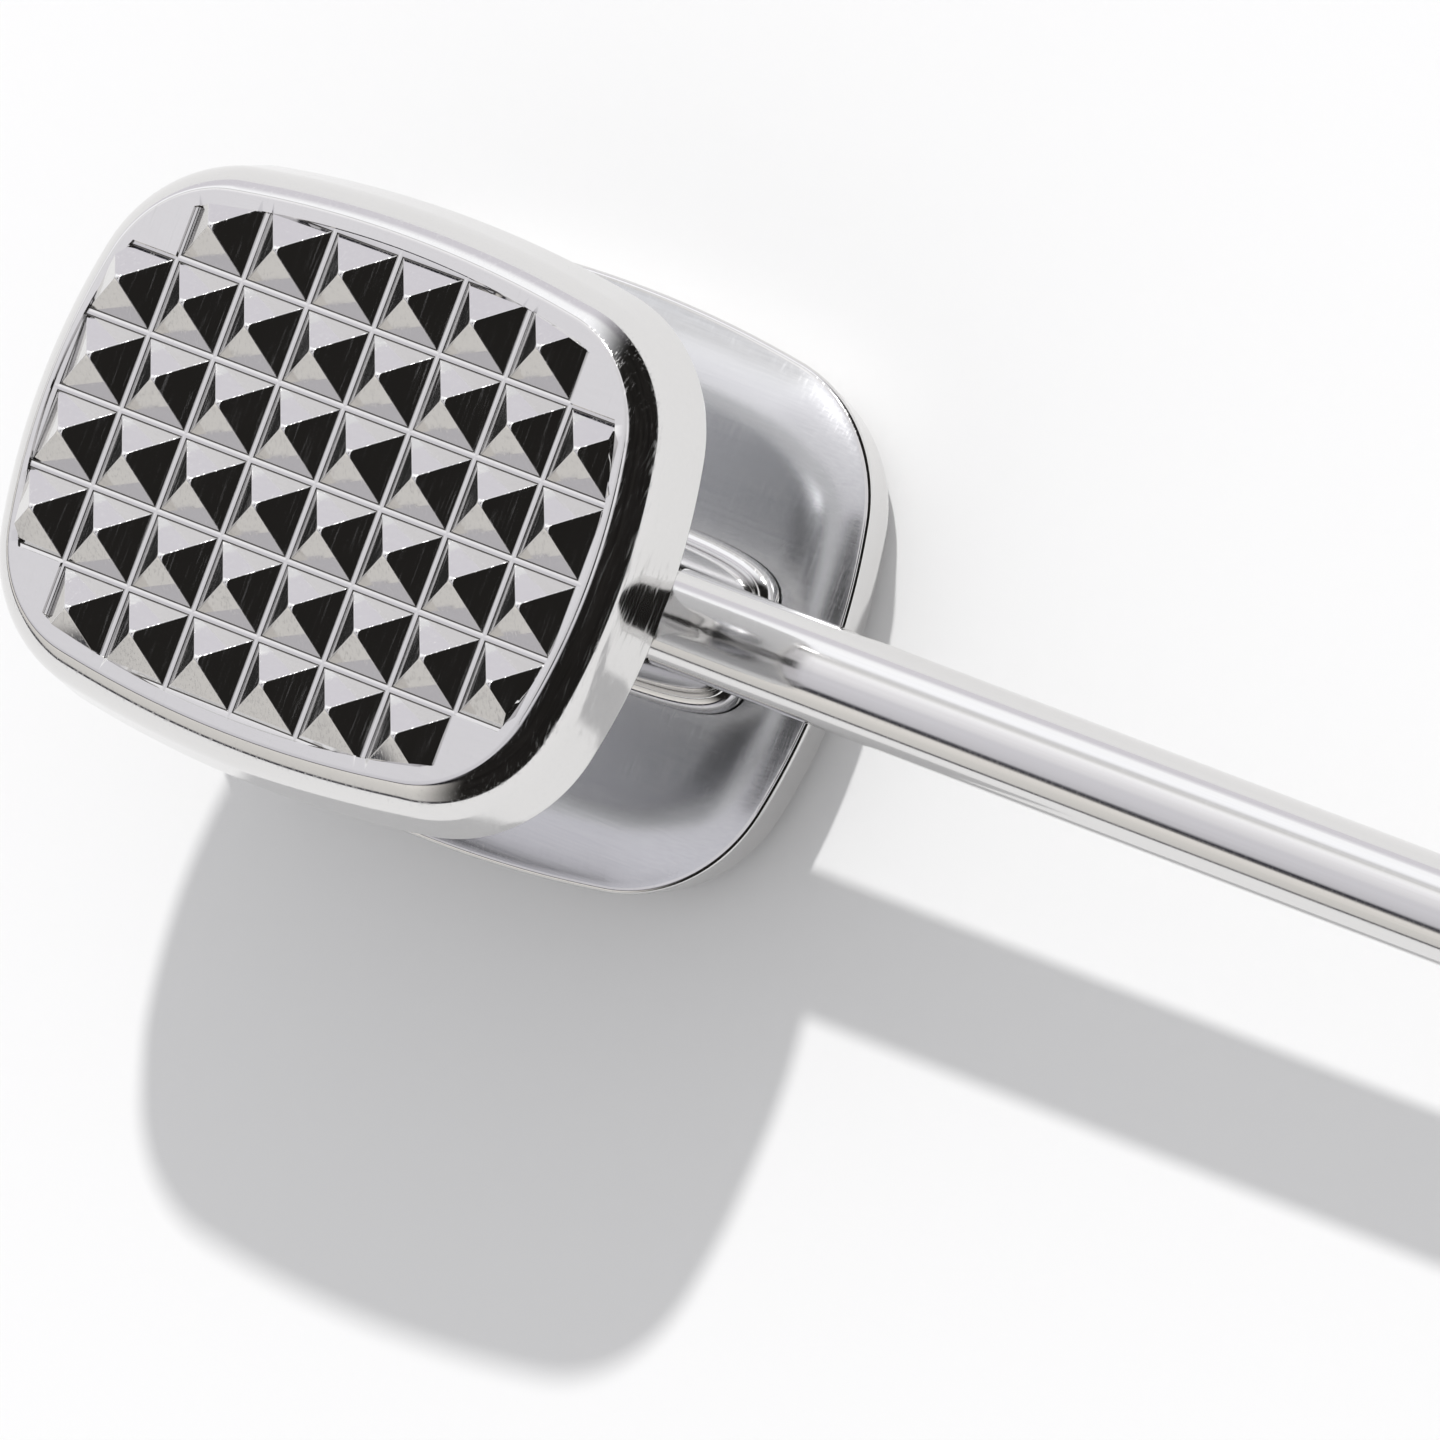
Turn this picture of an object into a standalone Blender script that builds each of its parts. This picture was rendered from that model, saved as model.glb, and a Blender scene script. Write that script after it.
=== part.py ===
"""Meat mallet: a toothed and a smooth striking plate on a centre web, with a straight round handle.

The mallet stands on its smooth face. The origin is the middle of that face, +Z points out
through the toothed face and +X runs along the handle to its butt. Lengths are in metres.
"""

import math

import bmesh
import bpy
from mathutils import Vector
from mathutils.geometry import delaunay_2d_cdt, intersect_sphere_sphere_2d

CLEARANCE = 0.0003

# Both striking plates share one outline: a rounded rectangle whose sides bow outwards.
PLATE_THICKNESS = 0.0094
PLATE_HALF_LENGTH = 0.0369
PLATE_HALF_WIDTH = 0.0297
PLATE_CORNER_RADIUS = 0.0167
PLATE_END_BULGE = 0.0068
PLATE_SIDE_BULGE = 0.0050
END_ARC_STEPS = 4
CORNER_ARC_STEPS = 8
SIDE_ARC_STEPS = 4

# Down the side of a plate: a rounded face edge, a wall that flares, a small rounded rim.
# The back of the plate rises from the rim to a flat that carries the web.
FACE_EDGE_RADIUS = 0.0064
FACE_EDGE_START = math.radians(30)
WALL_FLARE = math.radians(11.5)
RIM_RADIUS = 0.0006
CROWN_HEIGHT = 0.0016
CROWN_REACH = 0.0080
FACE_EDGE_STEPS = 5
RIM_STEPS = 2
CROWN_STEPS = 5

# The coarse plate's field of square pyramids, cut slightly below the flat land around it.
TOOTH_PITCH = 0.0080
TOOTH_COLUMNS = 8
TOOTH_ROWS = 6
TOOTH_HEIGHT = 0.0030
TOOTH_TIP_WIDTH = 0.0002
GROOVE_WIDTH = 0.0008
LAND_STEP = 0.0003
FIELD_HALF_LENGTH = 0.0323
FIELD_HALF_WIDTH = 0.0243
FIELD_CORNER_RADIUS = 0.0120

# The web between the plates: a bar with blunt round ends and a fillet onto each plate.
RIM_SPACING = 0.0337
WEB_HALF_LENGTH = 0.0285
WEB_HALF_WIDTH = 0.0073
WEB_ROUNDNESS = 5.5
WEB_FILLET = 0.0016
WEB_FILLET_STEPS = 4
WEB_OUTLINE_POINTS = 56

# Pressed pins that hold each plate on the web.
PIN_RADIUS = 0.0030
PIN_CHAMFER = 0.0005
PIN_OFFSET = 0.0150
PIN_HOLE_IN_PLATE = 0.0060
PIN_HOLE_IN_WEB = 0.0090

# The handle is a straight tube with a solid screwed end in the web and a plug in the butt.
HANDLE_RADIUS = 0.0050
HANDLE_WALL = 0.0010
HANDLE_BUTT_X = 0.2335
SOCKET_DEPTH = 0.0020
SPIGOT_RADIUS = 0.0030
SPIGOT_LENGTH = 0.0150
SPIGOT_HOLE_DEPTH = 0.0170
THREAD_PITCH = 0.0010
THREAD_DEPTH = 0.0004
CORE_LENGTH = 0.0380
PLUG_CROWN = 0.0020
PLUG_EDGE_RADIUS = 0.0012
PLUG_EDGE_STEPS = 4
PLUG_LENGTH = 0.0140

ROUND_SEGMENTS = 32
HOLE_SEGMENTS = 24
SHARP_ANGLE = math.radians(25)
SAME_POINT = 1e-6

PLATE_BACK = PLATE_THICKNESS + CROWN_HEIGHT
HEAD_HEIGHT = 2 * PLATE_THICKNESS + RIM_SPACING
HANDLE_Z = HEAD_HEIGHT / 2
TOOTH_BASE_HALF = (TOOTH_PITCH - GROOVE_WIDTH) / 2
TOOTH_TIP_HALF = TOOTH_TIP_WIDTH / 2
EMPTY_CORNER_X = (TOOTH_COLUMNS / 2 - 1) * TOOTH_PITCH
EMPTY_CORNER_Y = (TOOTH_ROWS / 2 - 1) * TOOTH_PITCH


def arc_radius(half_chord, bulge):
    """Radius of an arc that rises by bulge over twice half_chord."""
    return (half_chord**2 + bulge**2) / (2 * bulge)


def arc(centre, radius, start, end, steps):
    """Points on a circle from one angle towards another, without the last one."""
    angles = [start + (end - start) * step / steps for step in range(steps)]
    return [centre + radius * Vector((math.cos(angle), math.sin(angle))) for angle in angles]


def bowed_rectangle(half_length, half_width, corner_radius, inset=0.0):
    """Points round a rounded rectangle whose sides are arcs, moved inwards by inset."""
    end_radius = arc_radius(half_width, PLATE_END_BULGE)
    side_radius = arc_radius(half_length, PLATE_SIDE_BULGE)
    end_centre = Vector((half_length - end_radius, 0))
    side_centre = Vector((0, half_width - side_radius))
    crossings = intersect_sphere_sphere_2d(
        end_centre, end_radius - corner_radius, side_centre, side_radius - corner_radius
    )
    corner = max(crossings, key=lambda point: point.x + point.y)
    corner_start = math.atan2(*(corner - end_centre).yx)
    corner_end = math.atan2(*(corner - side_centre).yx)
    quarter = arc(end_centre, end_radius - inset, 0, corner_start, END_ARC_STEPS)
    quarter += arc(corner, corner_radius - inset, corner_start, corner_end, CORNER_ARC_STEPS)
    quarter += arc(side_centre, side_radius - inset, corner_end, math.pi / 2, SIDE_ARC_STEPS)
    quarter.append(side_centre + Vector((0, side_radius - inset)))
    left = [Vector((-point.x, point.y)) for point in reversed(quarter[:-1])]
    upper = quarter + left
    lower = [Vector((point.x, -point.y)) for point in reversed(upper[1:-1])]
    return upper + lower


def superellipse(half_length, half_width):
    """Points round a bar with blunt round ends."""
    points = []
    for index in range(WEB_OUTLINE_POINTS):
        angle = 2 * math.pi * index / WEB_OUTLINE_POINTS
        x = math.copysign(abs(math.cos(angle)) ** (2 / WEB_ROUNDNESS), math.cos(angle))
        y = math.copysign(abs(math.sin(angle)) ** (2 / WEB_ROUNDNESS), math.sin(angle))
        points.append(Vector((half_length * x, half_width * y)))
    return points


def at_height(outline, z):
    return [Vector((point.x, point.y, z)) for point in outline]


def plate_side_profile():
    """Inset and depth of each ring of a plate, from its face over the rim to its flat back."""
    turn_end = math.pi / 2 - WALL_FLARE
    edge_depth = FACE_EDGE_RADIUS * (math.cos(FACE_EDGE_START) - math.cos(turn_end))
    rim_start = PLATE_THICKNESS - RIM_RADIUS
    wall_inset = (rim_start - edge_depth) * math.tan(WALL_FLARE)
    rings = []
    for step in range(FACE_EDGE_STEPS + 1):
        turn = FACE_EDGE_START + (turn_end - FACE_EDGE_START) * step / FACE_EDGE_STEPS
        inset = wall_inset + FACE_EDGE_RADIUS * (math.sin(turn_end) - math.sin(turn))
        depth = FACE_EDGE_RADIUS * (math.cos(FACE_EDGE_START) - math.cos(turn))
        rings.append((inset, depth))
    for step in range(RIM_STEPS + 1):
        turn = math.pi / 2 * step / RIM_STEPS
        inset = RIM_RADIUS * (1 - math.cos(turn))
        depth = rim_start + RIM_RADIUS * math.sin(turn)
        rings.append((inset, depth))
    for step in range(1, CROWN_STEPS + 1):
        along = step / CROWN_STEPS
        rise = CROWN_HEIGHT * (1 - (1 - along) ** 2)
        rings.append((RIM_RADIUS + CROWN_REACH * along, PLATE_THICKNESS + rise))
    return rings


def plate_outline(inset):
    return bowed_rectangle(PLATE_HALF_LENGTH, PLATE_HALF_WIDTH, PLATE_CORNER_RADIUS, inset)


def add_material(piece, colour, roughness):
    material = bpy.data.materials.new(piece.name)
    material.use_nodes = True
    shader = material.node_tree.nodes["Principled BSDF"]
    shader.inputs["Base Color"].default_value = (*colour, 1)
    shader.inputs["Metallic"].default_value = 1
    shader.inputs["Roughness"].default_value = roughness
    piece.data.materials.append(material)


def add_piece(name, mesh_data, colour=(0.72, 0.72, 0.74), roughness=0.12):
    """One named object with its own material, from a finished bmesh."""
    bmesh.ops.recalc_face_normals(mesh_data, faces=mesh_data.faces)
    mesh = bpy.data.meshes.new(name)
    mesh_data.to_mesh(mesh)
    mesh_data.free()
    mesh.shade_smooth()
    mesh.set_sharp_from_angle(angle=SHARP_ANGLE)
    piece = bpy.data.objects.new(name, mesh)
    bpy.context.scene.collection.objects.link(piece)
    add_material(piece, colour, roughness)
    return piece


def bridge(mesh_data, lower, upper):
    for index in range(len(lower)):
        after = (index + 1) % len(lower)
        mesh_data.faces.new((lower[index], lower[after], upper[after], upper[index]))


def loft(rings, hollow=False):
    """Skin over rings of points, capped at both ends, or joined end to end when hollow."""
    mesh_data = bmesh.new()
    loops = [[mesh_data.verts.new(point) for point in ring] for ring in rings]
    for lower, upper in zip(loops, loops[1:]):
        bridge(mesh_data, lower, upper)
    if hollow:
        bridge(mesh_data, loops[-1], loops[0])
    else:
        mesh_data.faces.new(list(reversed(loops[0])))
        mesh_data.faces.new(loops[-1])
    return mesh_data


def round_directions():
    """Unit directions to the corners of a round piece's facets."""
    angles = [2 * math.pi * index / ROUND_SEGMENTS for index in range(ROUND_SEGMENTS)]
    return [(math.cos(angle), math.sin(angle)) for angle in angles]


def turned(profile, hollow=False):
    """Round piece about the handle's axis, from (x, radius) pairs."""
    rings = [
        [Vector((x, radius * across, HANDLE_Z + radius * up)) for across, up in round_directions()]
        for x, radius in profile
    ]
    return loft(rings, hollow)


def cut_round_hole(piece, name, centre, radius, depth, along_x=False):
    """Blind round hole: a cylinder of twice the depth, centred on the hole's mouth."""
    bpy.ops.mesh.primitive_cylinder_add(
        vertices=HOLE_SEGMENTS, radius=radius, depth=2 * depth, location=centre
    )
    cutter = bpy.context.object
    cutter.name = name
    if along_x:
        cutter.rotation_euler.y = math.pi / 2
    cutter.hide_render = True
    cutter.display_type = "WIRE"
    cut = piece.modifiers.new(name, "BOOLEAN")
    cut.operation = "DIFFERENCE"
    cut.object = cutter


def cut_pin_holes(piece, z, depth):
    for label, x in (("fore", PIN_OFFSET), ("aft", -PIN_OFFSET)):
        cut_name = f"{piece.name}_{label}_hole_{round(z * 1000)}"
        cut_round_hole(piece, cut_name, (x, 0, z), PIN_RADIUS + CLEARANCE, depth)


def tooth_centre(column, row):
    return (
        (column - (TOOTH_COLUMNS - 1) / 2) * TOOTH_PITCH,
        (row - (TOOTH_ROWS - 1) / 2) * TOOTH_PITCH,
    )


def field_height(x, y):
    """Height of the toothed field over the land: below it in a groove, above it on a tooth."""
    column = min(max(math.floor(x / TOOTH_PITCH) + TOOTH_COLUMNS // 2, 0), TOOTH_COLUMNS - 1)
    row = min(max(math.floor(y / TOOTH_PITCH) + TOOTH_ROWS // 2, 0), TOOTH_ROWS - 1)
    centre_x, centre_y = tooth_centre(column, row)
    reach = max(abs(x - centre_x), abs(y - centre_y))
    rise = (TOOTH_BASE_HALF - reach) / (TOOTH_BASE_HALF - TOOTH_TIP_HALF)
    return TOOTH_HEIGHT * min(max(rise, 0), 1) - LAND_STEP


def in_empty_corner(x, y):
    """The four corner squares hold no tooth and stay at land level."""
    return abs(x) > EMPTY_CORNER_X and abs(y) > EMPTY_CORNER_Y


def inside(outline, x, y):
    """Whether a point is within a convex outline that runs anticlockwise."""
    for start, end in loop_lines(outline):
        if (end.x - start.x) * (y - start.y) < (end.y - start.y) * (x - start.x):
            return False
    return True


def square(centre_x, centre_y, half):
    corners = ((-1, -1), (1, -1), (1, 1), (-1, 1))
    return [Vector((centre_x + half * x, centre_y + half * y)) for x, y in corners]


def loop_lines(loop):
    return list(zip(loop, loop[1:] + loop[:1]))


def clipped(outline, start, end):
    """The stretch of a line that lies within a convex anticlockwise outline, or None."""
    low = 0
    high = 1
    for near, far in loop_lines(outline):
        inward = Vector((near.y - far.y, far.x - near.x))
        start_side = inward.dot(start - near)
        end_side = inward.dot(end - near)
        if start_side < 0 and end_side < 0:
            return None
        if start_side < 0:
            low = max(low, start_side / (start_side - end_side))
        elif end_side < 0:
            high = min(high, start_side / (start_side - end_side))
    return (start.lerp(end, low), start.lerp(end, high)) if low < high else None


def field_lines(field_outline):
    """Every crease of the toothed field as a line, cut off at the field's outline."""
    level_half = TOOTH_BASE_HALF - (TOOTH_BASE_HALF - TOOTH_TIP_HALF) * LAND_STEP / TOOTH_HEIGHT
    lines = []
    for column in range(TOOTH_COLUMNS):
        for row in range(TOOTH_ROWS):
            x, y = tooth_centre(column, row)
            if in_empty_corner(x, y):
                continue
            base = square(x, y, TOOTH_BASE_HALF)
            tip = square(x, y, TOOTH_TIP_HALF)
            lines += loop_lines(base) + loop_lines(tip) + list(zip(base, tip))
            if not all(inside(field_outline, *corner) for corner in base):
                lines += loop_lines(square(x, y, level_half))
    for side_x in (-1, 1):
        for side_y in (-1, 1):
            corner = Vector((side_x * EMPTY_CORNER_X, side_y * EMPTY_CORNER_Y))
            lines.append((corner, corner + Vector((side_x * TOOTH_PITCH, 0))))
            lines.append((corner, corner + Vector((0, side_y * TOOTH_PITCH))))
    kept = [clipped(field_outline, *line) for line in lines]
    return [line for line in kept if line]


def toothed_face_triangles(land_outline, field_outline):
    """Flat triangulation of the face that follows the land, the field and every crease."""
    points = []
    edges = []
    for loop in (land_outline, field_outline):
        first = len(points)
        points += loop
        edges += [(first + index, first + (index + 1) % len(loop)) for index in range(len(loop))]
    for start, end in field_lines(field_outline):
        edges.append((len(points), len(points) + 1))
        points += [start, end]
    flat, _, triangles, *_ = delaunay_2d_cdt(points, edges, [], 0, 1e-7)
    return flat, triangles


def add_toothed_face(mesh_data, land_loop, land_outline, z):
    """Land, grooves, teeth and the small walls round the field, joined to the land's loop."""
    field_outline = bowed_rectangle(FIELD_HALF_LENGTH, FIELD_HALF_WIDTH, FIELD_CORNER_RADIUS)
    flat, triangles = toothed_face_triangles(land_outline, field_outline)
    land_verts = {}
    for index, point in enumerate(flat):
        for vert in land_loop:
            if (vert.co.xy - point).length < SAME_POINT:
                land_verts[index] = vert
    field_verts = {}
    field_edges = set()
    land_edges = set()

    def land_vert(index):
        if index not in land_verts:
            land_verts[index] = mesh_data.verts.new((*flat[index], z))
        return land_verts[index]

    def field_vert(index):
        if index not in field_verts:
            height = field_height(*flat[index])
            if abs(height) < SAME_POINT:
                field_verts[index] = land_vert(index)
            else:
                field_verts[index] = mesh_data.verts.new((*flat[index], z + height))
        return field_verts[index]

    for triangle in triangles:
        middle = sum((flat[index] for index in triangle), Vector((0, 0))) / 3
        if not inside(land_outline, *middle):
            continue
        sides = set(zip(triangle, triangle[1:] + triangle[:1]))
        if inside(field_outline, *middle) and not in_empty_corner(*middle):
            mesh_data.faces.new([field_vert(index) for index in triangle])
            field_edges |= sides
        else:
            mesh_data.faces.new([land_vert(index) for index in triangle])
            land_edges |= sides
    for start, end in field_edges:
        if (end, start) in land_edges:
            wall = [field_vert(end), field_vert(start), land_vert(start), land_vert(end)]
            corners = list(dict.fromkeys(wall))
            if len(corners) > 2:
                mesh_data.faces.new(corners)


def striking_plate(face_z, into_plate, toothed):
    """Plate whose face is at face_z and whose body runs from there in direction into_plate."""
    mesh_data = bmesh.new()
    loops = []
    for inset, depth in plate_side_profile():
        ring = at_height(plate_outline(inset), face_z + into_plate * depth)
        loops.append([mesh_data.verts.new(point) for point in ring])
    for outer, inner in zip(loops, loops[1:]):
        bridge(mesh_data, outer, inner)
    mesh_data.faces.new(loops[-1])
    if toothed:
        land_outline = [vert.co.xy for vert in loops[0]]
        add_toothed_face(mesh_data, loops[0], land_outline, face_z)
    else:
        mesh_data.faces.new(loops[0])
    return mesh_data


def make_plates():
    coarse = add_piece("coarse_striking_plate", striking_plate(HEAD_HEIGHT, -1, True))
    smooth = add_piece("smooth_striking_plate", striking_plate(0, 1, False))
    cut_pin_holes(coarse, HEAD_HEIGHT - PLATE_BACK, PIN_HOLE_IN_PLATE)
    cut_pin_holes(smooth, PLATE_BACK, PIN_HOLE_IN_PLATE)


def make_web():
    bottom = PLATE_BACK + CLEARANCE
    top = HEAD_HEIGHT - bottom
    rings = []
    for end_z, direction in ((bottom, 1), (top, -1)):
        fillet = []
        for step in range(WEB_FILLET_STEPS + 1):
            turn = math.pi / 2 * step / WEB_FILLET_STEPS
            spread = WEB_FILLET * (1 - math.sin(turn))
            z = end_z + direction * WEB_FILLET * (1 - math.cos(turn))
            outline = superellipse(WEB_HALF_LENGTH + spread, WEB_HALF_WIDTH + spread)
            fillet.append(at_height(outline, z))
        rings += fillet if direction > 0 else reversed(fillet)
    web = add_piece("centre_web", loft(rings))
    cut_pin_holes(web, bottom, PIN_HOLE_IN_WEB)
    cut_pin_holes(web, top, PIN_HOLE_IN_WEB)
    end = (WEB_HALF_LENGTH, 0, HANDLE_Z)
    cut_round_hole(web, "handle_socket", end, HANDLE_RADIUS + CLEARANCE, SOCKET_DEPTH, along_x=True)
    cut_round_hole(web, "spigot_hole", end, SPIGOT_RADIUS + CLEARANCE, SPIGOT_HOLE_DEPTH, along_x=True)


def make_pin(name, x, bottom, top):
    profile = (
        (bottom, PIN_RADIUS - PIN_CHAMFER),
        (bottom + PIN_CHAMFER, PIN_RADIUS),
        (top - PIN_CHAMFER, PIN_RADIUS),
        (top, PIN_RADIUS - PIN_CHAMFER),
    )
    rings = [
        [Vector((x + radius * along, radius * across, z)) for along, across in round_directions()]
        for z, radius in profile
    ]
    add_piece(name, loft(rings), colour=(0.5, 0.5, 0.5), roughness=0.35)


def make_pins():
    plate_end = PLATE_BACK - PIN_HOLE_IN_PLATE + CLEARANCE
    web_end = PLATE_BACK + PIN_HOLE_IN_WEB
    for label, x in (("fore", PIN_OFFSET), ("aft", -PIN_OFFSET)):
        make_pin(f"smooth_plate_pin_{label}", x, plate_end, web_end)
        make_pin(f"coarse_plate_pin_{label}", x, HEAD_HEIGHT - web_end, HEAD_HEIGHT - plate_end)


def make_handle():
    tube_start = WEB_HALF_LENGTH - SOCKET_DEPTH + CLEARANCE
    tube_end = HANDLE_BUTT_X - PLUG_CROWN - CLEARANCE
    bore = HANDLE_RADIUS - HANDLE_WALL
    tube = [(tube_start, HANDLE_RADIUS), (tube_end, HANDLE_RADIUS), (tube_end, bore), (tube_start, bore)]
    add_piece("handle_tube", turned(tube, hollow=True), roughness=0.25)

    core_radius = bore - CLEARANCE
    spigot_tip = tube_start - SPIGOT_LENGTH
    root = SPIGOT_RADIUS - THREAD_DEPTH
    profile = [(spigot_tip, root)]
    for turn in range(round(SPIGOT_LENGTH / THREAD_PITCH) - 1):
        crest = spigot_tip + (turn + 0.5) * THREAD_PITCH
        profile += [(crest, SPIGOT_RADIUS), (crest + THREAD_PITCH / 2, root)]
    profile += [(tube_start, root), (tube_start, core_radius), (tube_start + CORE_LENGTH, core_radius)]
    add_piece("handle_spigot", turned(profile), colour=(0.5, 0.5, 0.5), roughness=0.35)

    crown_start = HANDLE_BUTT_X - PLUG_CROWN
    profile = [
        (crown_start - PLUG_LENGTH, core_radius),
        (crown_start, core_radius),
        (crown_start, HANDLE_RADIUS),
    ]
    for step in range(PLUG_EDGE_STEPS + 1):
        turn = math.pi / 2 * step / PLUG_EDGE_STEPS
        x = HANDLE_BUTT_X - PLUG_EDGE_RADIUS * (1 - math.sin(turn))
        radius = HANDLE_RADIUS - PLUG_EDGE_RADIUS * (1 - math.cos(turn))
        profile.append((x, radius))
    add_piece("handle_end_plug", turned(profile), roughness=0.15)


def main():
    for existing in list(bpy.data.objects):
        bpy.data.objects.remove(existing)
    make_plates()
    make_web()
    make_pins()
    make_handle()


main()
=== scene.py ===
import math

import bmesh
import bpy
from mathutils import Matrix, Vector
from mathutils.geometry import delaunay_2d_cdt, intersect_sphere_sphere_2d


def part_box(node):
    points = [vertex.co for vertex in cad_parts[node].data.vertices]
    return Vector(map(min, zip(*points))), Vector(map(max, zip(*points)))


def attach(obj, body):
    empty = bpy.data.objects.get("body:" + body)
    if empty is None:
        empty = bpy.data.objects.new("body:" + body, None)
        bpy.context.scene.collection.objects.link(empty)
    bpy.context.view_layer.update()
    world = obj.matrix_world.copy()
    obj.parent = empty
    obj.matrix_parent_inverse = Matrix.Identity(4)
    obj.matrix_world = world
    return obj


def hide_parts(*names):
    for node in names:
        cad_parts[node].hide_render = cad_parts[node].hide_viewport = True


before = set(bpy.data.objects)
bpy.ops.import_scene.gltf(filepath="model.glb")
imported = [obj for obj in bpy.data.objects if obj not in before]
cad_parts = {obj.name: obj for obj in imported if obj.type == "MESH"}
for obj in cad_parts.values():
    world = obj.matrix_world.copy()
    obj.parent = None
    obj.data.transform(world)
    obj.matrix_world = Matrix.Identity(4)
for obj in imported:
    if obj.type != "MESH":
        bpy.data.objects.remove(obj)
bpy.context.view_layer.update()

SCENE = bpy.context.scene
_, PLATE_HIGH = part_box("smooth_striking_plate")
TEETH_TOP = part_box("coarse_striking_plate")[1].z
WEB_LOW, WEB_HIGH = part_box("centre_web")
TUBE_LOW, TUBE_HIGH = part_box("handle_tube")
PLUG_LOW, PLUG_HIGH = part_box("handle_end_plug")

HANDLE_Z = (TUBE_LOW.z + TUBE_HIGH.z) / 2
HANDLE_RADIUS = (TUBE_HIGH.z - TUBE_LOW.z) / 2
HEAD_HEIGHT = 2 * HANDLE_Z

# Plate outline and side, as in the CAD but with finer steps.
PLATE_HALF_LENGTH = PLATE_HIGH.x
PLATE_HALF_WIDTH = PLATE_HIGH.y
CROWN_HEIGHT = 0.0016
CROWN_REACH = 0.0080
PLATE_THICKNESS = PLATE_HIGH.z - CROWN_HEIGHT
PLATE_CORNER_RADIUS = 0.0167
PLATE_END_BULGE = 0.0068
PLATE_SIDE_BULGE = 0.0050
ARC_STEPS = (14, 26, 16)
FACE_EDGE_RADIUS = 0.0064
FACE_EDGE_START = math.radians(30)
WALL_FLARE = math.radians(11.5)
RIM_RADIUS = 0.0006
CREASE_RADIUS = 0.0007
CREASE_STEPS = 4
EDGE_STEPS = 18
WALL_STEPS = 4
RIM_STEPS = 6
CROWN_STEPS = 16
# Extra rings on the flats, which keep the shading beside the curved parts even.
LAND_RING = 0.0022
FACE_RING = 0.0001
BACK_RING = 0.003

# Toothed field. Heights are above the groove floor.
TOOTH_PITCH = 0.0080
TOOTH_COLUMNS = 8
TOOTH_ROWS = 6
LAND_HEIGHT = 0.0003
TOOTH_HEIGHT = TEETH_TOP - HEAD_HEIGHT + LAND_HEIGHT
GROOVE_HALF = 0.0004
CREVICE_DEPTH = 0.00008
RIDGE_RADIUS = 0.00012
FIELD_HALF_LENGTH = 0.0323
FIELD_HALF_WIDTH = 0.0243
FIELD_CORNER_RADIUS = 0.0120
WALL_LEAN = 0.00010
# How far the middle of a rounded corner lies inside the square one, as a share of its radius.
CORNER_CUT = 0.293
# The outer cells are widened, so that they reach past the field's outline and it cuts them.
OUTER_WIDENING = 1.03

SAME_PLACE = 1e-6
MERGE_DISTANCE = 2e-6
CUT_TOLERANCE = 1e-8
SHORTEST_EDGE = 1e-9
SHARP_ANGLE = math.radians(35)

# Material slots of a plate, after the polished one. The third slot is a darker steel that paints shade
# into the lengthwise creases at the teeth's feet.
INNER_FACE_SLOT = 1
CREASE_SHADE_SLOT = 2

WEB_ROUNDNESS = 5.5
WEB_FILLET = 0.0016
WEB_POINTS = 160
WEB_FILLET_STEPS = 10

ROUND_SEGMENTS = 96

TUBE_WALL = 0.001
TUBE_STEPS = 24
TUBE_HEAD_BEVEL = 0.0001
TUBE_BUTT_BEVEL = 0.0002

PLUG_GAP = 0.0003
PLUG_HEAD = 0.002
PLUG_EDGE_RADIUS = 0.0012
PLUG_EDGE_STEPS = 8
PLUG_EDGE_DROP = 0.0003
PLUG_EDGE_RISE = 0.00025
PLUG_TOP_STEPS = 6
PLUG_TOP_DROP = 0.00005

CAMERA_TARGET = Vector((0.0370, -0.0077, 0.0263))
CAMERA_DISTANCE = 1.5331
CAMERA_AZIMUTH = math.radians(91.51)
CAMERA_ELEVATION = math.radians(59.96)
CAMERA_ROLL = math.radians(70.73)
CAMERA_LENS = 392.6

CLOUD_SCALE = 60.0
CLOUD_BUMP = 4e-6
SCRATCH_SCALE = (5200, 170, 3100)
SCRATCH_RANGE = (0.48, 0.78)

FLOOR_SIZE = 40
FLOOR_DROP = 0.00005
KEY_ENERGY = 1.93
KEY_ANGLE = math.radians(2.2)
KEY_COLOUR = (1.0, 0.995, 0.985)
KEY_DIRECTION = Vector((-0.15, 0.97, 1.0))
EVEN_LIGHT = (0.655, 0.655, 0.665)
BACKDROP = (0.955, 0.955, 0.955)


# ---------------------------------------------------------------- outlines

def arc_radius(half_chord, bulge):
    return (half_chord**2 + bulge**2) / (2 * bulge)


def arc(centre, radius, start, end, steps):
    angles = [start + (end - start) * step / steps for step in range(steps)]
    return [centre + radius * Vector((math.cos(angle), math.sin(angle))) for angle in angles]


def bowed_rectangle(half_length, half_width, corner_radius, inset=0.0):
    """Points round a rounded rectangle whose sides are arcs, moved inwards by inset."""
    end_radius = arc_radius(half_width, PLATE_END_BULGE)
    side_radius = arc_radius(half_length, PLATE_SIDE_BULGE)
    end_centre = Vector((half_length - end_radius, 0))
    side_centre = Vector((0, half_width - side_radius))
    crossings = intersect_sphere_sphere_2d(
        end_centre, end_radius - corner_radius, side_centre, side_radius - corner_radius
    )
    corner = max(crossings, key=lambda point: point.x + point.y)
    corner_start = math.atan2(*(corner - end_centre).yx)
    corner_end = math.atan2(*(corner - side_centre).yx)
    end_steps, corner_steps, side_steps = ARC_STEPS
    quarter = arc(end_centre, end_radius - inset, 0, corner_start, end_steps)
    quarter += arc(corner, corner_radius - inset, corner_start, corner_end, corner_steps)
    quarter += arc(side_centre, side_radius - inset, corner_end, math.pi / 2, side_steps)
    quarter.append(side_centre + Vector((0, side_radius - inset)))
    left = [Vector((-point.x, point.y)) for point in reversed(quarter[:-1])]
    upper = quarter + left
    lower = [Vector((point.x, -point.y)) for point in reversed(upper[1:-1])]
    return upper + lower


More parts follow.
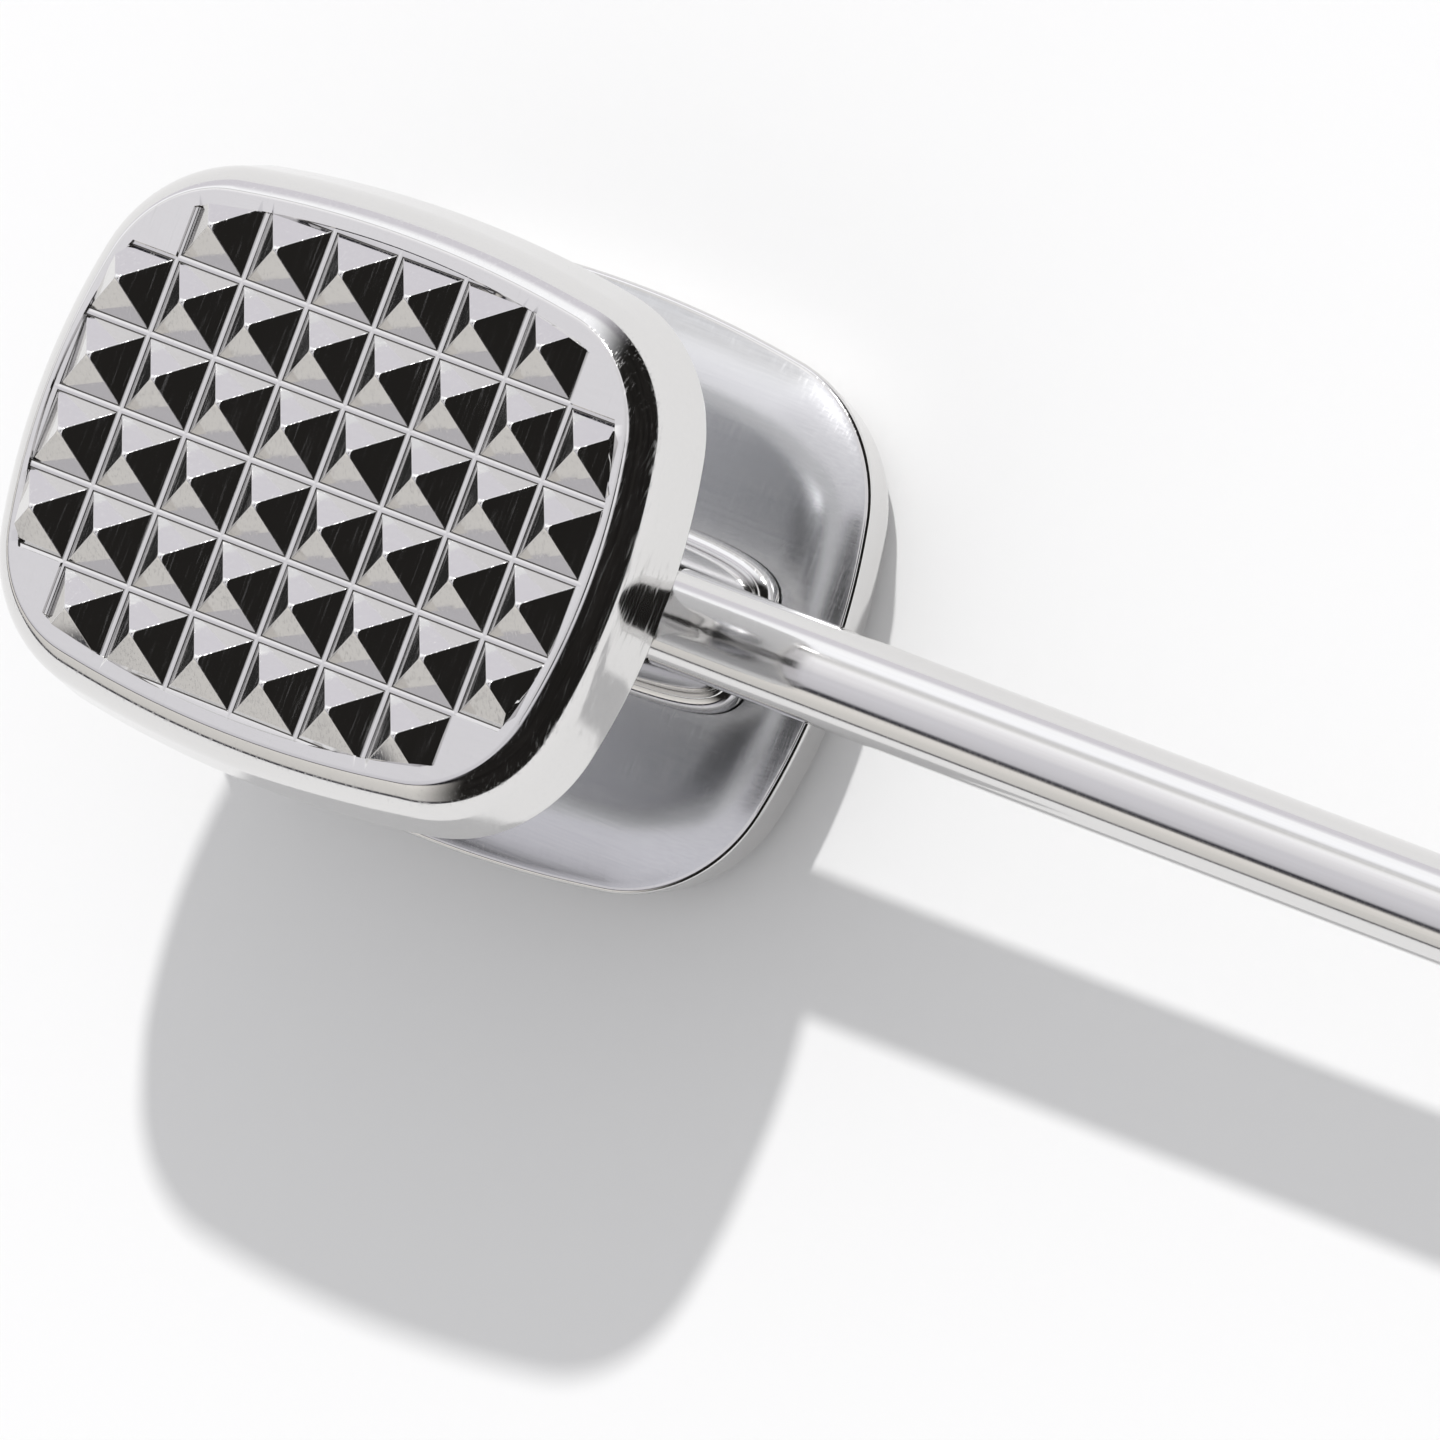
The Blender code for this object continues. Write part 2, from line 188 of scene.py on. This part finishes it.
def superellipse(half_length, half_width):
    points = []
    for index in range(WEB_POINTS):
        angle = 2 * math.pi * index / WEB_POINTS
        x = math.copysign(abs(math.cos(angle)) ** (2 / WEB_ROUNDNESS), math.cos(angle))
        y = math.copysign(abs(math.sin(angle)) ** (2 / WEB_ROUNDNESS), math.sin(angle))
        points.append(Vector((half_length * x, half_width * y)))
    return points


def plate_rings():
    """Inset and depth of each ring of a plate, from the flat of its face to the middle of its back."""
    turn_end = math.pi / 2 - WALL_FLARE
    edge_depth = FACE_EDGE_RADIUS * (math.cos(FACE_EDGE_START) - math.cos(turn_end))
    rim_start = PLATE_THICKNESS - RIM_RADIUS
    wall_inset = (rim_start - edge_depth) * math.tan(WALL_FLARE)

    def edge(turn):
        inset = wall_inset + FACE_EDGE_RADIUS * (math.sin(turn_end) - math.sin(turn))
        return inset, FACE_EDGE_RADIUS * (math.cos(FACE_EDGE_START) - math.cos(turn))

    crease_inset, _ = edge(FACE_EDGE_START)
    reach = CREASE_RADIUS * math.tan(FACE_EDGE_START / 2)
    rings = [(crease_inset + LAND_RING, 0), (crease_inset + reach + FACE_RING, 0)]
    for step in range(CREASE_STEPS + 1):
        turn = FACE_EDGE_START * step / CREASE_STEPS
        inset = crease_inset + reach - CREASE_RADIUS * math.sin(turn)
        rings.append((inset, CREASE_RADIUS * (1 - math.cos(turn))))
    past_crease = FACE_EDGE_START + reach / FACE_EDGE_RADIUS
    for step in range(1, EDGE_STEPS + 1):
        rings.append(edge(past_crease + (turn_end - past_crease) * step / EDGE_STEPS))
    for step in range(1, WALL_STEPS):
        depth = edge_depth + (rim_start - edge_depth) * step / WALL_STEPS
        rings.append(((rim_start - depth) * math.tan(WALL_FLARE), depth))
    for step in range(RIM_STEPS + 1):
        turn = math.pi / 2 * step / RIM_STEPS
        rings.append((RIM_RADIUS * (1 - math.cos(turn)), rim_start + RIM_RADIUS * math.sin(turn)))
    for step in range(1, CROWN_STEPS + 1):
        along = step / CROWN_STEPS
        rise = CROWN_HEIGHT * (1 - (1 - along) ** 2)
        rings.append((RIM_RADIUS + CROWN_REACH * along, PLATE_THICKNESS + rise))
    rings.append((RIM_RADIUS + CROWN_REACH + BACK_RING, PLATE_THICKNESS + CROWN_HEIGHT))
    return rings


# ---------------------------------------------------------------- meshes

def bridge(mesh_data, lower, upper):
    for index in range(len(lower)):
        after = (index + 1) % len(lower)
        mesh_data.faces.new((lower[index], lower[after], upper[after], upper[index]))


def loft(rings, hollow=False):
    mesh_data = bmesh.new()
    loops = [[mesh_data.verts.new(point) for point in ring] for ring in rings]
    for lower, upper in zip(loops, loops[1:]):
        bridge(mesh_data, lower, upper)
    if hollow:
        bridge(mesh_data, loops[-1], loops[0])
    else:
        mesh_data.faces.new(list(reversed(loops[0])))
        mesh_data.faces.new(loops[-1])
    return mesh_data


def turned(profile, hollow=False):
    """Round piece about the handle's axis, from (x, radius) pairs."""
    angles = [2 * math.pi * index / ROUND_SEGMENTS for index in range(ROUND_SEGMENTS)]
    rings = [
        [Vector((x, radius * math.cos(angle), HANDLE_Z + radius * math.sin(angle))) for angle in angles]
        for x, radius in profile
    ]
    return loft(rings, hollow)


def cell_ring(centre, half, height, corner, rounded):
    """Twelve points round a square, three at each corner; rounded cuts the corner."""
    cut = corner * CORNER_CUT if rounded else 0
    quarter = [
        Vector((half, half - corner)),
        Vector((half - cut, half - cut)),
        Vector((half - corner, half)),
    ]
    points = []
    for turn in range(4):
        for point in quarter:
            x, y = point
            for _ in range(turn):
                x, y = -y, x
            points.append(Vector((centre.x + x, centre.y + y, height)))
    return points


def tooth_cell(centre):
    """One tooth with half of the groove on each side of it."""
    base = TOOTH_PITCH / 2 - GROOVE_HALF
    tip = RIDGE_RADIUS + 0.00004
    profile = [
        (TOOTH_PITCH / 2, 0.00003, False),
        (base + 0.00026, 0.00002, False),
        (base + 0.00014, 0.0, False),
        (base + 0.00006, -CREVICE_DEPTH, False),
        (base - 0.00002, 0.00001, True),
        (base - 0.00016, 0.00011, True),
        (tip + 0.0003, TOOTH_HEIGHT - 0.00026, True),
        (tip, TOOTH_HEIGHT - 0.00005, True),
    ]
    mesh_data = bmesh.new()
    loops = [
        [mesh_data.verts.new(point) for point in cell_ring(centre, half, height, RIDGE_RADIUS, rounded)]
        for half, height, rounded in profile
    ]
    for lower, upper in zip(loops, loops[1:]):
        bridge(mesh_data, lower, upper)
    for vert in loops[0]:
        for axis, limit in ((0, TOOTH_COLUMNS / 2 * TOOTH_PITCH), (1, TOOTH_ROWS / 2 * TOOTH_PITCH)):
            if abs(vert.co[axis]) > limit - SAME_PLACE:
                vert.co[axis] *= OUTER_WIDENING
    top = mesh_data.verts.new((centre.x, centre.y, TOOTH_HEIGHT))
    last = loops[-1]
    for index in range(len(last)):
        mesh_data.faces.new((last[index], last[(index + 1) % len(last)], top))
    return mesh_data


def cut_to_outline(mesh_data, outline):
    """Removes what lies outside a convex anticlockwise outline."""
    for start, end in zip(outline, outline[1:] + outline[:1]):
        outward = Vector((end.y - start.y, start.x - end.x, 0))
        origin = Vector((start.x, start.y, 0))
        if any((vert.co - origin).dot(outward) > SHORTEST_EDGE for vert in mesh_data.verts):
            everything = list(mesh_data.verts) + list(mesh_data.edges) + list(mesh_data.faces)
            bmesh.ops.bisect_plane(
                mesh_data, geom=everything, dist=CUT_TOLERANCE,
                plane_co=origin, plane_no=outward, clear_outer=True,
            )


def toothed_field():
    """All teeth and grooves, cut off at the field's outline, as one bmesh."""
    outline = bowed_rectangle(FIELD_HALF_LENGTH, FIELD_HALF_WIDTH, FIELD_CORNER_RADIUS)
    field = bmesh.new()
    scratch = bpy.data.meshes.new("tooth_cell")
    for column in range(TOOTH_COLUMNS):
        for row in range(TOOTH_ROWS):
            if column in (0, TOOTH_COLUMNS - 1) and row in (0, TOOTH_ROWS - 1):
                continue
            x = (column - (TOOTH_COLUMNS - 1) / 2) * TOOTH_PITCH
            y = (row - (TOOTH_ROWS - 1) / 2) * TOOTH_PITCH
            cell = tooth_cell(Vector((x, y)))
            cut_to_outline(cell, outline)
            cell.to_mesh(scratch)
            cell.free()
            field.from_mesh(scratch)
    bpy.data.meshes.remove(scratch)
    bmesh.ops.remove_doubles(field, verts=field.verts, dist=MERGE_DISTANCE)
    return field


def takes_painted_crease_shade(face):
    """Whether a face of the field lies in a crease that runs along X at the foot of a tooth; such faces
    take the darker steel, painted shade in the crease.
    """
    x, y, _ = face.calc_center_median()
    across_x = abs(x % TOOTH_PITCH - TOOTH_PITCH / 2)
    across_y = abs(y % TOOTH_PITCH - TOOTH_PITCH / 2)
    lowest = min(vert.co.z for vert in face.verts)
    return across_y > across_x and lowest < -CREVICE_DEPTH / 2


def add_toothed_face(mesh_data, land_loop, face_z):
    """Teeth, grooves, the small walls round them and the land out to the plate's own ring."""
    field = toothed_field()
    floor_z = face_z - LAND_HEIGHT
    moved = {
        vert: mesh_data.verts.new((vert.co.x, vert.co.y, vert.co.z + floor_z))
        for vert in field.verts
    }
    for face in field.faces:
        copy = mesh_data.faces.new([moved[vert] for vert in face.verts])
        # Lengthwise creases take the darker steel: painted shade at the teeth's feet.
        if takes_painted_crease_shade(face):
            copy.material_index = CREASE_SHADE_SLOT
    outward = {}
    border = []
    for edge in field.edges:
        if len(edge.link_faces) != 1:
            continue
        loop = edge.link_loops[0]
        start, end = loop.vert, loop.link_loop_next.vert
        normal = Vector((end.co.y - start.co.y, start.co.x - end.co.x))
        if normal.length < SHORTEST_EDGE:
            continue
        border.append((start, end))
        for vert in (start, end):
            outward[vert] = outward.get(vert, Vector((0, 0))) + normal.normalized()
    land_verts = {}
    for vert, normal in outward.items():
        flat = vert.co.xy + WALL_LEAN * 2 / normal.length_squared * normal
        land_verts[vert] = mesh_data.verts.new((flat.x, flat.y, face_z))
    for start, end in border:
        mesh_data.faces.new((moved[end], moved[start], land_verts[start], land_verts[end]))
    field.free()

    ring = land_loop + list(land_verts.values())
    place = {vert: index for index, vert in enumerate(ring)}
    edges = [(index, (index + 1) % len(land_loop)) for index in range(len(land_loop))]
    edges += [(place[land_verts[start]], place[land_verts[end]]) for start, end in border]
    hole = [(land_verts[start].co.xy, land_verts[end].co.xy) for start, end in border]
    plate_edge = list(zip(loop_points(land_loop), loop_points(land_loop, 1)))
    flat, _, triangles, origin, *_ = delaunay_2d_cdt(
        [vert.co.xy for vert in ring], edges, [], 0, CUT_TOLERANCE
    )
    extra = {}

    def extra_vert(index):
        if index not in extra:
            extra[index] = mesh_data.verts.new((*flat[index], face_z))
        return extra[index]

    for triangle in triangles:
        middle = sum((flat[index] for index in triangle), Vector((0, 0))) / 3
        if in_loops(hole, middle) or not in_loops(plate_edge, middle):
            continue
        corners = [ring[origin[index][0]] if origin[index] else extra_vert(index) for index in triangle]
        mesh_data.faces.new(corners)


def loop_points(loop, shift=0):
    return [loop[(index + shift) % len(loop)].co.xy for index in range(len(loop))]


def in_loops(lines, point):
    """Even-odd test of a point against closed loops given as lines."""
    within = False
    for start, end in lines:
        if (start.y > point.y) != (end.y > point.y):
            crossing = start.x + (point.y - start.y) * (end.x - start.x) / (end.y - start.y)
            within ^= crossing > point.x
    return within


def striking_plate(face_z, into_plate, toothed):
    mesh_data = bmesh.new()
    loops = []
    for inset, depth in plate_rings():
        outline = bowed_rectangle(PLATE_HALF_LENGTH, PLATE_HALF_WIDTH, PLATE_CORNER_RADIUS, inset)
        z = face_z + into_plate * depth
        loops.append([mesh_data.verts.new((point.x, point.y, z)) for point in outline])
    first = 1 if toothed else 0
    for outer, inner in zip(loops[first:], loops[first + 1:]):
        bridge(mesh_data, outer, inner)
    mesh_data.faces.new(loops[-1])
    if toothed:
        for vert in loops[0]:
            mesh_data.verts.remove(vert)
        add_toothed_face(mesh_data, loops[1], face_z)
    else:
        mesh_data.faces.new(loops[0])
    return mesh_data


def add_piece(name, mesh_data, node, materials):
    bmesh.ops.recalc_face_normals(mesh_data, faces=mesh_data.faces)
    mesh = bpy.data.meshes.new(name)
    mesh_data.to_mesh(mesh)
    mesh_data.free()
    mesh.shade_smooth()
    mesh.set_sharp_from_angle(angle=SHARP_ANGLE)
    for material in materials:
        mesh.materials.append(material)
    piece = bpy.data.objects.new(name, mesh)
    SCENE.collection.objects.link(piece)
    normals = piece.modifiers.new("flat_faces", "WEIGHTED_NORMAL")
    normals.keep_sharp = True
    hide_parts(node)
    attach(piece, "root")
    return piece


# ---------------------------------------------------------------- materials

class Nodes:
    """Adds and links nodes in one tree."""

    def __init__(self, tree):
        self.tree = tree
        self.tree.nodes.clear()

    def add(self, kind, inputs=None, **settings):
        node = self.tree.nodes.new(kind)
        for key, value in settings.items():
            setattr(node, key, value)
        for key, value in (inputs or {}).items():
            if isinstance(value, bpy.types.NodeSocket):
                self.tree.links.new(value, node.inputs[key])
            else:
                node.inputs[key].default_value = value
        return node

    def math(self, operation, first, second=0.0):
        node = self.add("ShaderNodeMath", {0: first, 1: second}, operation=operation)
        return node.outputs[0]

    def ramp(self, value, stops):
        node = self.add("ShaderNodeValToRGB", {"Fac": value})
        elements = node.color_ramp.elements
        while len(elements) > 1:
            elements.remove(elements[-1])
        elements[0].position, elements[0].color = stops[0][0], (*stops[0][1], 1)
        for position, colour in stops[1:]:
            elements.new(position).color = (*colour, 1)
        return node.outputs["Color"]

    def spread(self, value, low, high):
        """0 below low, 1 above high, and a smooth step between them."""
        node = self.add(
            "ShaderNodeMapRange",
            {"Value": value, "From Min": low, "From Max": high},
            interpolation_type="SMOOTHSTEP",
        )
        return node.outputs["Result"]

    def range(self, value, low, high):
        """Rescales 0..1 noise to low..high."""
        node = self.add("ShaderNodeMapRange", {"Value": value, "To Min": low, "To Max": high})
        return node.outputs["Result"]

    def noise(self, vector, scale, detail=3.0, roughness=0.5):
        node = self.add(
            "ShaderNodeTexNoise",
            {"Vector": vector, "Scale": scale, "Detail": detail, "Roughness": roughness},
        )
        return node.outputs["Fac"]

    def mix(self, factor, first, second):
        node = self.add("ShaderNodeMix", data_type="RGBA")
        self.tree.links.new(factor, node.inputs["Factor"])
        for socket, value in ((node.inputs[6], first), (node.inputs[7], second)):
            if isinstance(value, bpy.types.NodeSocket):
                self.tree.links.new(value, socket)
            else:
                socket.default_value = (*value, 1)
        return node.outputs[2]


def steel(name, colours, roughness, grain, grain_bump, cloud=0.02, scratched=0.05):
    """Stainless steel with lengthwise grain, soft clouding and faint scratches.

    grain gives the noise scale along X, Y and Z; grain_bump is the depth of the grain lines;
    cloud and scratched are the roughness that clouding and scratches add.
    """
    material = bpy.data.materials.new(name)
    material.use_nodes = True
    nodes = Nodes(material.node_tree)
    place = nodes.add("ShaderNodeTexCoord").outputs["Object"]
    stretched = nodes.add("ShaderNodeMapping", {"Vector": place, "Scale": grain}).outputs["Vector"]
    lines = nodes.noise(stretched, 1.0, 4.0, 0.6)
    clouds = nodes.noise(place, CLOUD_SCALE, 3.0)
    scratch_place = nodes.add(
        "ShaderNodeMapping",
        {"Vector": place, "Scale": SCRATCH_SCALE},
    ).outputs["Vector"]
    scratches = nodes.spread(nodes.noise(scratch_place, 1.0, 2.0), *SCRATCH_RANGE)
    low, high = roughness
    rough = nodes.range(lines, low, high)
    rough = nodes.math("ADD", rough, nodes.math("MULTIPLY", clouds, cloud))
    rough = nodes.math("ADD", rough, nodes.math("MULTIPLY", scratches, scratched))
    colour = nodes.mix(lines, colours[0], colours[1])
    bump = nodes.add(
        "ShaderNodeBump", {"Height": lines, "Distance": grain_bump, "Strength": 1.0}
    ).outputs["Normal"]
    bump = nodes.add(
        "ShaderNodeBump", {"Height": clouds, "Distance": CLOUD_BUMP, "Strength": 1.0, "Normal": bump}
    ).outputs["Normal"]
    shader = nodes.add(
        "ShaderNodeBsdfPrincipled",
        {"Base Color": colour, "Metallic": 1.0, "Roughness": rough, "Normal": bump},
    )
    nodes.add("ShaderNodeOutputMaterial", {"Surface": shader.outputs["BSDF"]})
    return material


def floor_material():
    material = bpy.data.materials.new("pale_floor")
    material.use_nodes = True
    nodes = Nodes(material.node_tree)
    place = nodes.add("ShaderNodeTexCoord").outputs["Object"]
    colour = nodes.mix(nodes.noise(place, 3.0), (0.90, 0.90, 0.90), (0.91, 0.91, 0.91))
    shader = nodes.add("ShaderNodeBsdfDiffuse", {"Color": colour})
    nodes.add("ShaderNodeOutputMaterial", {"Surface": shader.outputs["BSDF"]})
    return material


# ---------------------------------------------------------------- studio

def build_world():
    """Pale backdrop for the camera, even light for matt surfaces, a banded sky for reflections."""
    world = bpy.data.worlds.new("studio")
    SCENE.world = world
    world.use_nodes = True
    nodes = Nodes(world.node_tree)
    direction = nodes.add("ShaderNodeTexCoord").outputs["Generated"]
    parts = nodes.add("ShaderNodeSeparateXYZ", {"Vector": direction}).outputs
    x, y, z = parts["X"], parts["Y"], parts["Z"]
    height = nodes.math("MULTIPLY", nodes.math("ARCSINE", z), 2 / math.pi)

    def at(degrees):
        return degrees / 90

    far_side = nodes.ramp(height, (
        (at(0), (0.82, 0.80, 0.86)),
        (at(11), (0.84, 0.82, 0.88)),
        (at(18), (1.26, 1.27, 1.30)),
        (at(35), (1.26, 1.27, 1.32)),
        (at(40), (0.79, 0.79, 0.81)),
        (at(46), (0.81, 0.80, 0.80)),
        (at(50), (1.24, 1.24, 1.26)),
        (at(55), (1.10, 1.09, 1.13)),
        (at(63), (0.89, 0.88, 0.91)),
        (at(90), (0.72, 0.71, 0.74)),
    ))
    near_side = nodes.ramp(height, (
        (at(0), (0.05, 0.05, 0.06)),
        (at(3), (0.05, 0.05, 0.06)),
        (at(5), (0.74, 0.72, 0.70)),
        (at(18), (0.80, 0.78, 0.75)),
        (at(33), (0.98, 0.945, 0.91)),
        (at(36), (0.025, 0.025, 0.035)),
        (at(41), (0.025, 0.025, 0.035)),
        (at(44), (0.67, 0.66, 0.70)),
        (at(60), (0.79, 0.78, 0.83)),
        (at(90), (0.72, 0.71, 0.74)),
    ))
    side = nodes.spread(y, -0.12, 0.12)
    sky = nodes.mix(side, near_side, far_side)
    # The dark half of the room, on the handle's side.
    towards_handle = nodes.spread(x, -0.30, 0.20)
    low_enough = nodes.math("SUBTRACT", 1.0, nodes.spread(height, at(52), at(57)))
    dark = nodes.math("MULTIPLY", towards_handle, low_enough)
    streaks = nodes.add(
        "ShaderNodeMapping", {"Vector": direction, "Scale": (3, 3, 16)}
    ).outputs["Vector"]
    room = nodes.mix(nodes.noise(streaks, 1.0, 4.0), (0.002, 0.002, 0.002), (0.030, 0.028, 0.026))
    sky = nodes.mix(dark, sky, room)
    # A dark patch nearly overhead.
    above = nodes.math("ADD", nodes.math("MULTIPLY", x, 0.23), nodes.math("MULTIPLY", z, 0.973))
    overhead = nodes.spread(above, 0.978, 0.988)
    sky = nodes.mix(overhead, sky, (0.03, 0.03, 0.03))

    paths = nodes.add("ShaderNodeLightPath").outputs
    colour = nodes.mix(paths["Is Diffuse Ray"], sky, EVEN_LIGHT)
    colour = nodes.mix(paths["Is Camera Ray"], colour, BACKDROP)
    background = nodes.add("ShaderNodeBackground", {"Color": colour, "Strength": 1.0})
    nodes.add("ShaderNodeOutputWorld", {"Surface": background.outputs["Background"]})


def build_key_light():
    data = bpy.data.lights.new("key", "SUN")
    data.energy = KEY_ENERGY
    data.angle = KEY_ANGLE
    data.color = KEY_COLOUR
    lamp = bpy.data.objects.new("key", data)
    SCENE.collection.objects.link(lamp)
    towards = KEY_DIRECTION.normalized()
    lamp.rotation_mode = "QUATERNION"
    lamp.rotation_quaternion = towards.to_track_quat("Z", "Y")
    lamp.location = towards


def build_floor():
    bpy.ops.mesh.primitive_plane_add(size=FLOOR_SIZE, location=(0, 0, -FLOOR_DROP))
    floor = bpy.context.object
    floor.name = "studio_floor"
    floor.data.materials.append(floor_material())


def build_camera():
    data = bpy.data.cameras.new("camera")
    data.lens = CAMERA_LENS
    data.sensor_width = 36
    data.clip_end = 100
    camera = bpy.data.objects.new("camera", data)
    SCENE.collection.objects.link(camera)
    flat = math.cos(CAMERA_ELEVATION)
    back = Vector((
        math.sin(CAMERA_AZIMUTH) * flat,
        -math.cos(CAMERA_AZIMUTH) * flat,
        math.sin(CAMERA_ELEVATION),
    ))
    level_right = Vector((0, 0, 1)).cross(back).normalized()
    level_up = back.cross(level_right)
    up = math.cos(CAMERA_ROLL) * level_up + math.sin(CAMERA_ROLL) * level_right
    right = up.cross(back)
    pose = Matrix((right, up, back)).transposed().to_4x4()
    pose.translation = CAMERA_TARGET + CAMERA_DISTANCE * back
    camera.matrix_world = pose
    SCENE.camera = camera


# ---------------------------------------------------------------- pieces

def mark_inner_face(piece, z, side):
    """The crowned back that faces the other plate takes the second material: a real satin finish whose
    darker, bluer tone is painted reflection.
    """
    for polygon in piece.data.polygons:
        if all((piece.data.vertices[index].co.z - z) * side > -SAME_PLACE for index in polygon.vertices):
            polygon.material_index = INNER_FACE_SLOT


def build_plates(polished, satin_with_painted_reflection, painted_crease_shade):
    coarse = add_piece(
        "toothed_plate", striking_plate(HEAD_HEIGHT, -1, True),
        "coarse_striking_plate", (polished, satin_with_painted_reflection, painted_crease_shade),
    )
    mark_inner_face(coarse, HEAD_HEIGHT - PLATE_THICKNESS, -1)
    smooth = add_piece(
        "smooth_plate", striking_plate(0, 1, False),
        "smooth_striking_plate", (polished, satin_with_painted_reflection),
    )
    mark_inner_face(smooth, PLATE_THICKNESS, 1)


def build_web(polished):
    half_length = WEB_HIGH.x - WEB_FILLET
    half_width = WEB_HIGH.y - WEB_FILLET
    rings = []
    for end_z, direction in ((WEB_LOW.z, 1), (WEB_HIGH.z, -1)):
        fillet = []
        for step in range(WEB_FILLET_STEPS + 1):
            turn = math.pi / 2 * step / WEB_FILLET_STEPS
            spread = WEB_FILLET * (1 - math.sin(turn))
            z = end_z + direction * WEB_FILLET * (1 - math.cos(turn))
            outline = superellipse(half_length + spread, half_width + spread)
            fillet.append([Vector((point.x, point.y, z)) for point in outline])
        rings += fillet if direction > 0 else reversed(fillet)
    add_piece("web", loft(rings), "centre_web", (polished,))


def build_handle(brushed, polished):
    bore = HANDLE_RADIUS - TUBE_WALL
    start, end = TUBE_LOW.x, TUBE_HIGH.x
    profile = [
        (start, bore),
        (start, HANDLE_RADIUS - TUBE_HEAD_BEVEL),
        (start + TUBE_HEAD_BEVEL, HANDLE_RADIUS),
    ]
    for step in range(1, TUBE_STEPS):
        profile.append((start + (end - start) * step / TUBE_STEPS, HANDLE_RADIUS))
    profile += [
        (end - TUBE_BUTT_BEVEL, HANDLE_RADIUS),
        (end, HANDLE_RADIUS - TUBE_BUTT_BEVEL),
        (end, bore),
    ]
    add_piece("handle", turned(profile, hollow=True), "handle_tube", (brushed,))

    head = PLUG_HIGH.x - PLUG_HEAD
    profile = [
        (PLUG_LOW.x, bore - PLUG_GAP),
        (head, bore - PLUG_GAP),
        (head, HANDLE_RADIUS - TUBE_BUTT_BEVEL),
        (head + TUBE_BUTT_BEVEL, HANDLE_RADIUS),
    ]
    for step in range(1, PLUG_EDGE_STEPS + 1):
        turn = math.pi / 2 * step / PLUG_EDGE_STEPS
        dome = PLUG_EDGE_RISE * math.sin(turn)
        x = PLUG_HIGH.x - PLUG_EDGE_DROP - PLUG_EDGE_RADIUS * (1 - math.sin(turn)) + dome
        profile.append((x, HANDLE_RADIUS - PLUG_EDGE_RADIUS * (1 - math.cos(turn))))
    for step in range(1, PLUG_TOP_STEPS):
        radius = (HANDLE_RADIUS - PLUG_EDGE_RADIUS) * (1 - step / PLUG_TOP_STEPS)
        profile.append((PLUG_HIGH.x - PLUG_TOP_DROP * (radius / HANDLE_RADIUS) ** 2, radius))
    add_piece("handle_plug", turned(profile), "handle_end_plug", (polished,))


def finish_hidden_parts(turned_steel):
    """Pins and the screwed core keep their CAD meshes."""
    for name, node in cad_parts.items():
        if "pin" in name or name == "handle_spigot":
            for slot in node.material_slots:
                slot.material = turned_steel


def main():
    polished = steel(
        "polished_steel", ((0.715, 0.708, 0.70), (0.755, 0.748, 0.74)), (0.035, 0.075),
        (500, 2600, 2600), 3e-7, scratched=0.20,
    )
    # Satin finish for the inner faces; its darker, bluer tone than the polished steel is painted
    # reflection of the dim space between the plates.
    satin_with_painted_reflection = steel(
        "satin_steel_painted_reflection", ((0.61, 0.615, 0.63), (0.72, 0.72, 0.725)), (0.11, 0.18),
        (40, 4200, 4200), 2.5e-6, cloud=0.05,
    )
    brushed = steel(
        "brushed_handle_steel", ((0.70, 0.693, 0.685), (0.77, 0.763, 0.755)), (0.06, 0.13),
        (25, 7000, 7000), 2e-6,
    )
    turned_steel = steel(
        "turned_steel", ((0.50, 0.49, 0.48), (0.60, 0.59, 0.58)), (0.28, 0.40), (3000, 60, 60), 4e-6,
    )
    # Darker steel for the lengthwise creases: painted shade, not the steel's own colour.
    painted_crease_shade = steel(
        "painted_crease_shade_steel", ((0.18, 0.175, 0.17), (0.34, 0.33, 0.32)), (0.30, 0.45),
        (900, 900, 900), 2e-6,
    )
    build_plates(polished, satin_with_painted_reflection, painted_crease_shade)
    build_web(polished)
    build_handle(brushed, polished)
    finish_hidden_parts(turned_steel)
    build_floor()
    build_world()
    build_key_light()
    build_camera()
    SCENE.view_settings.view_transform = "Standard"


main()
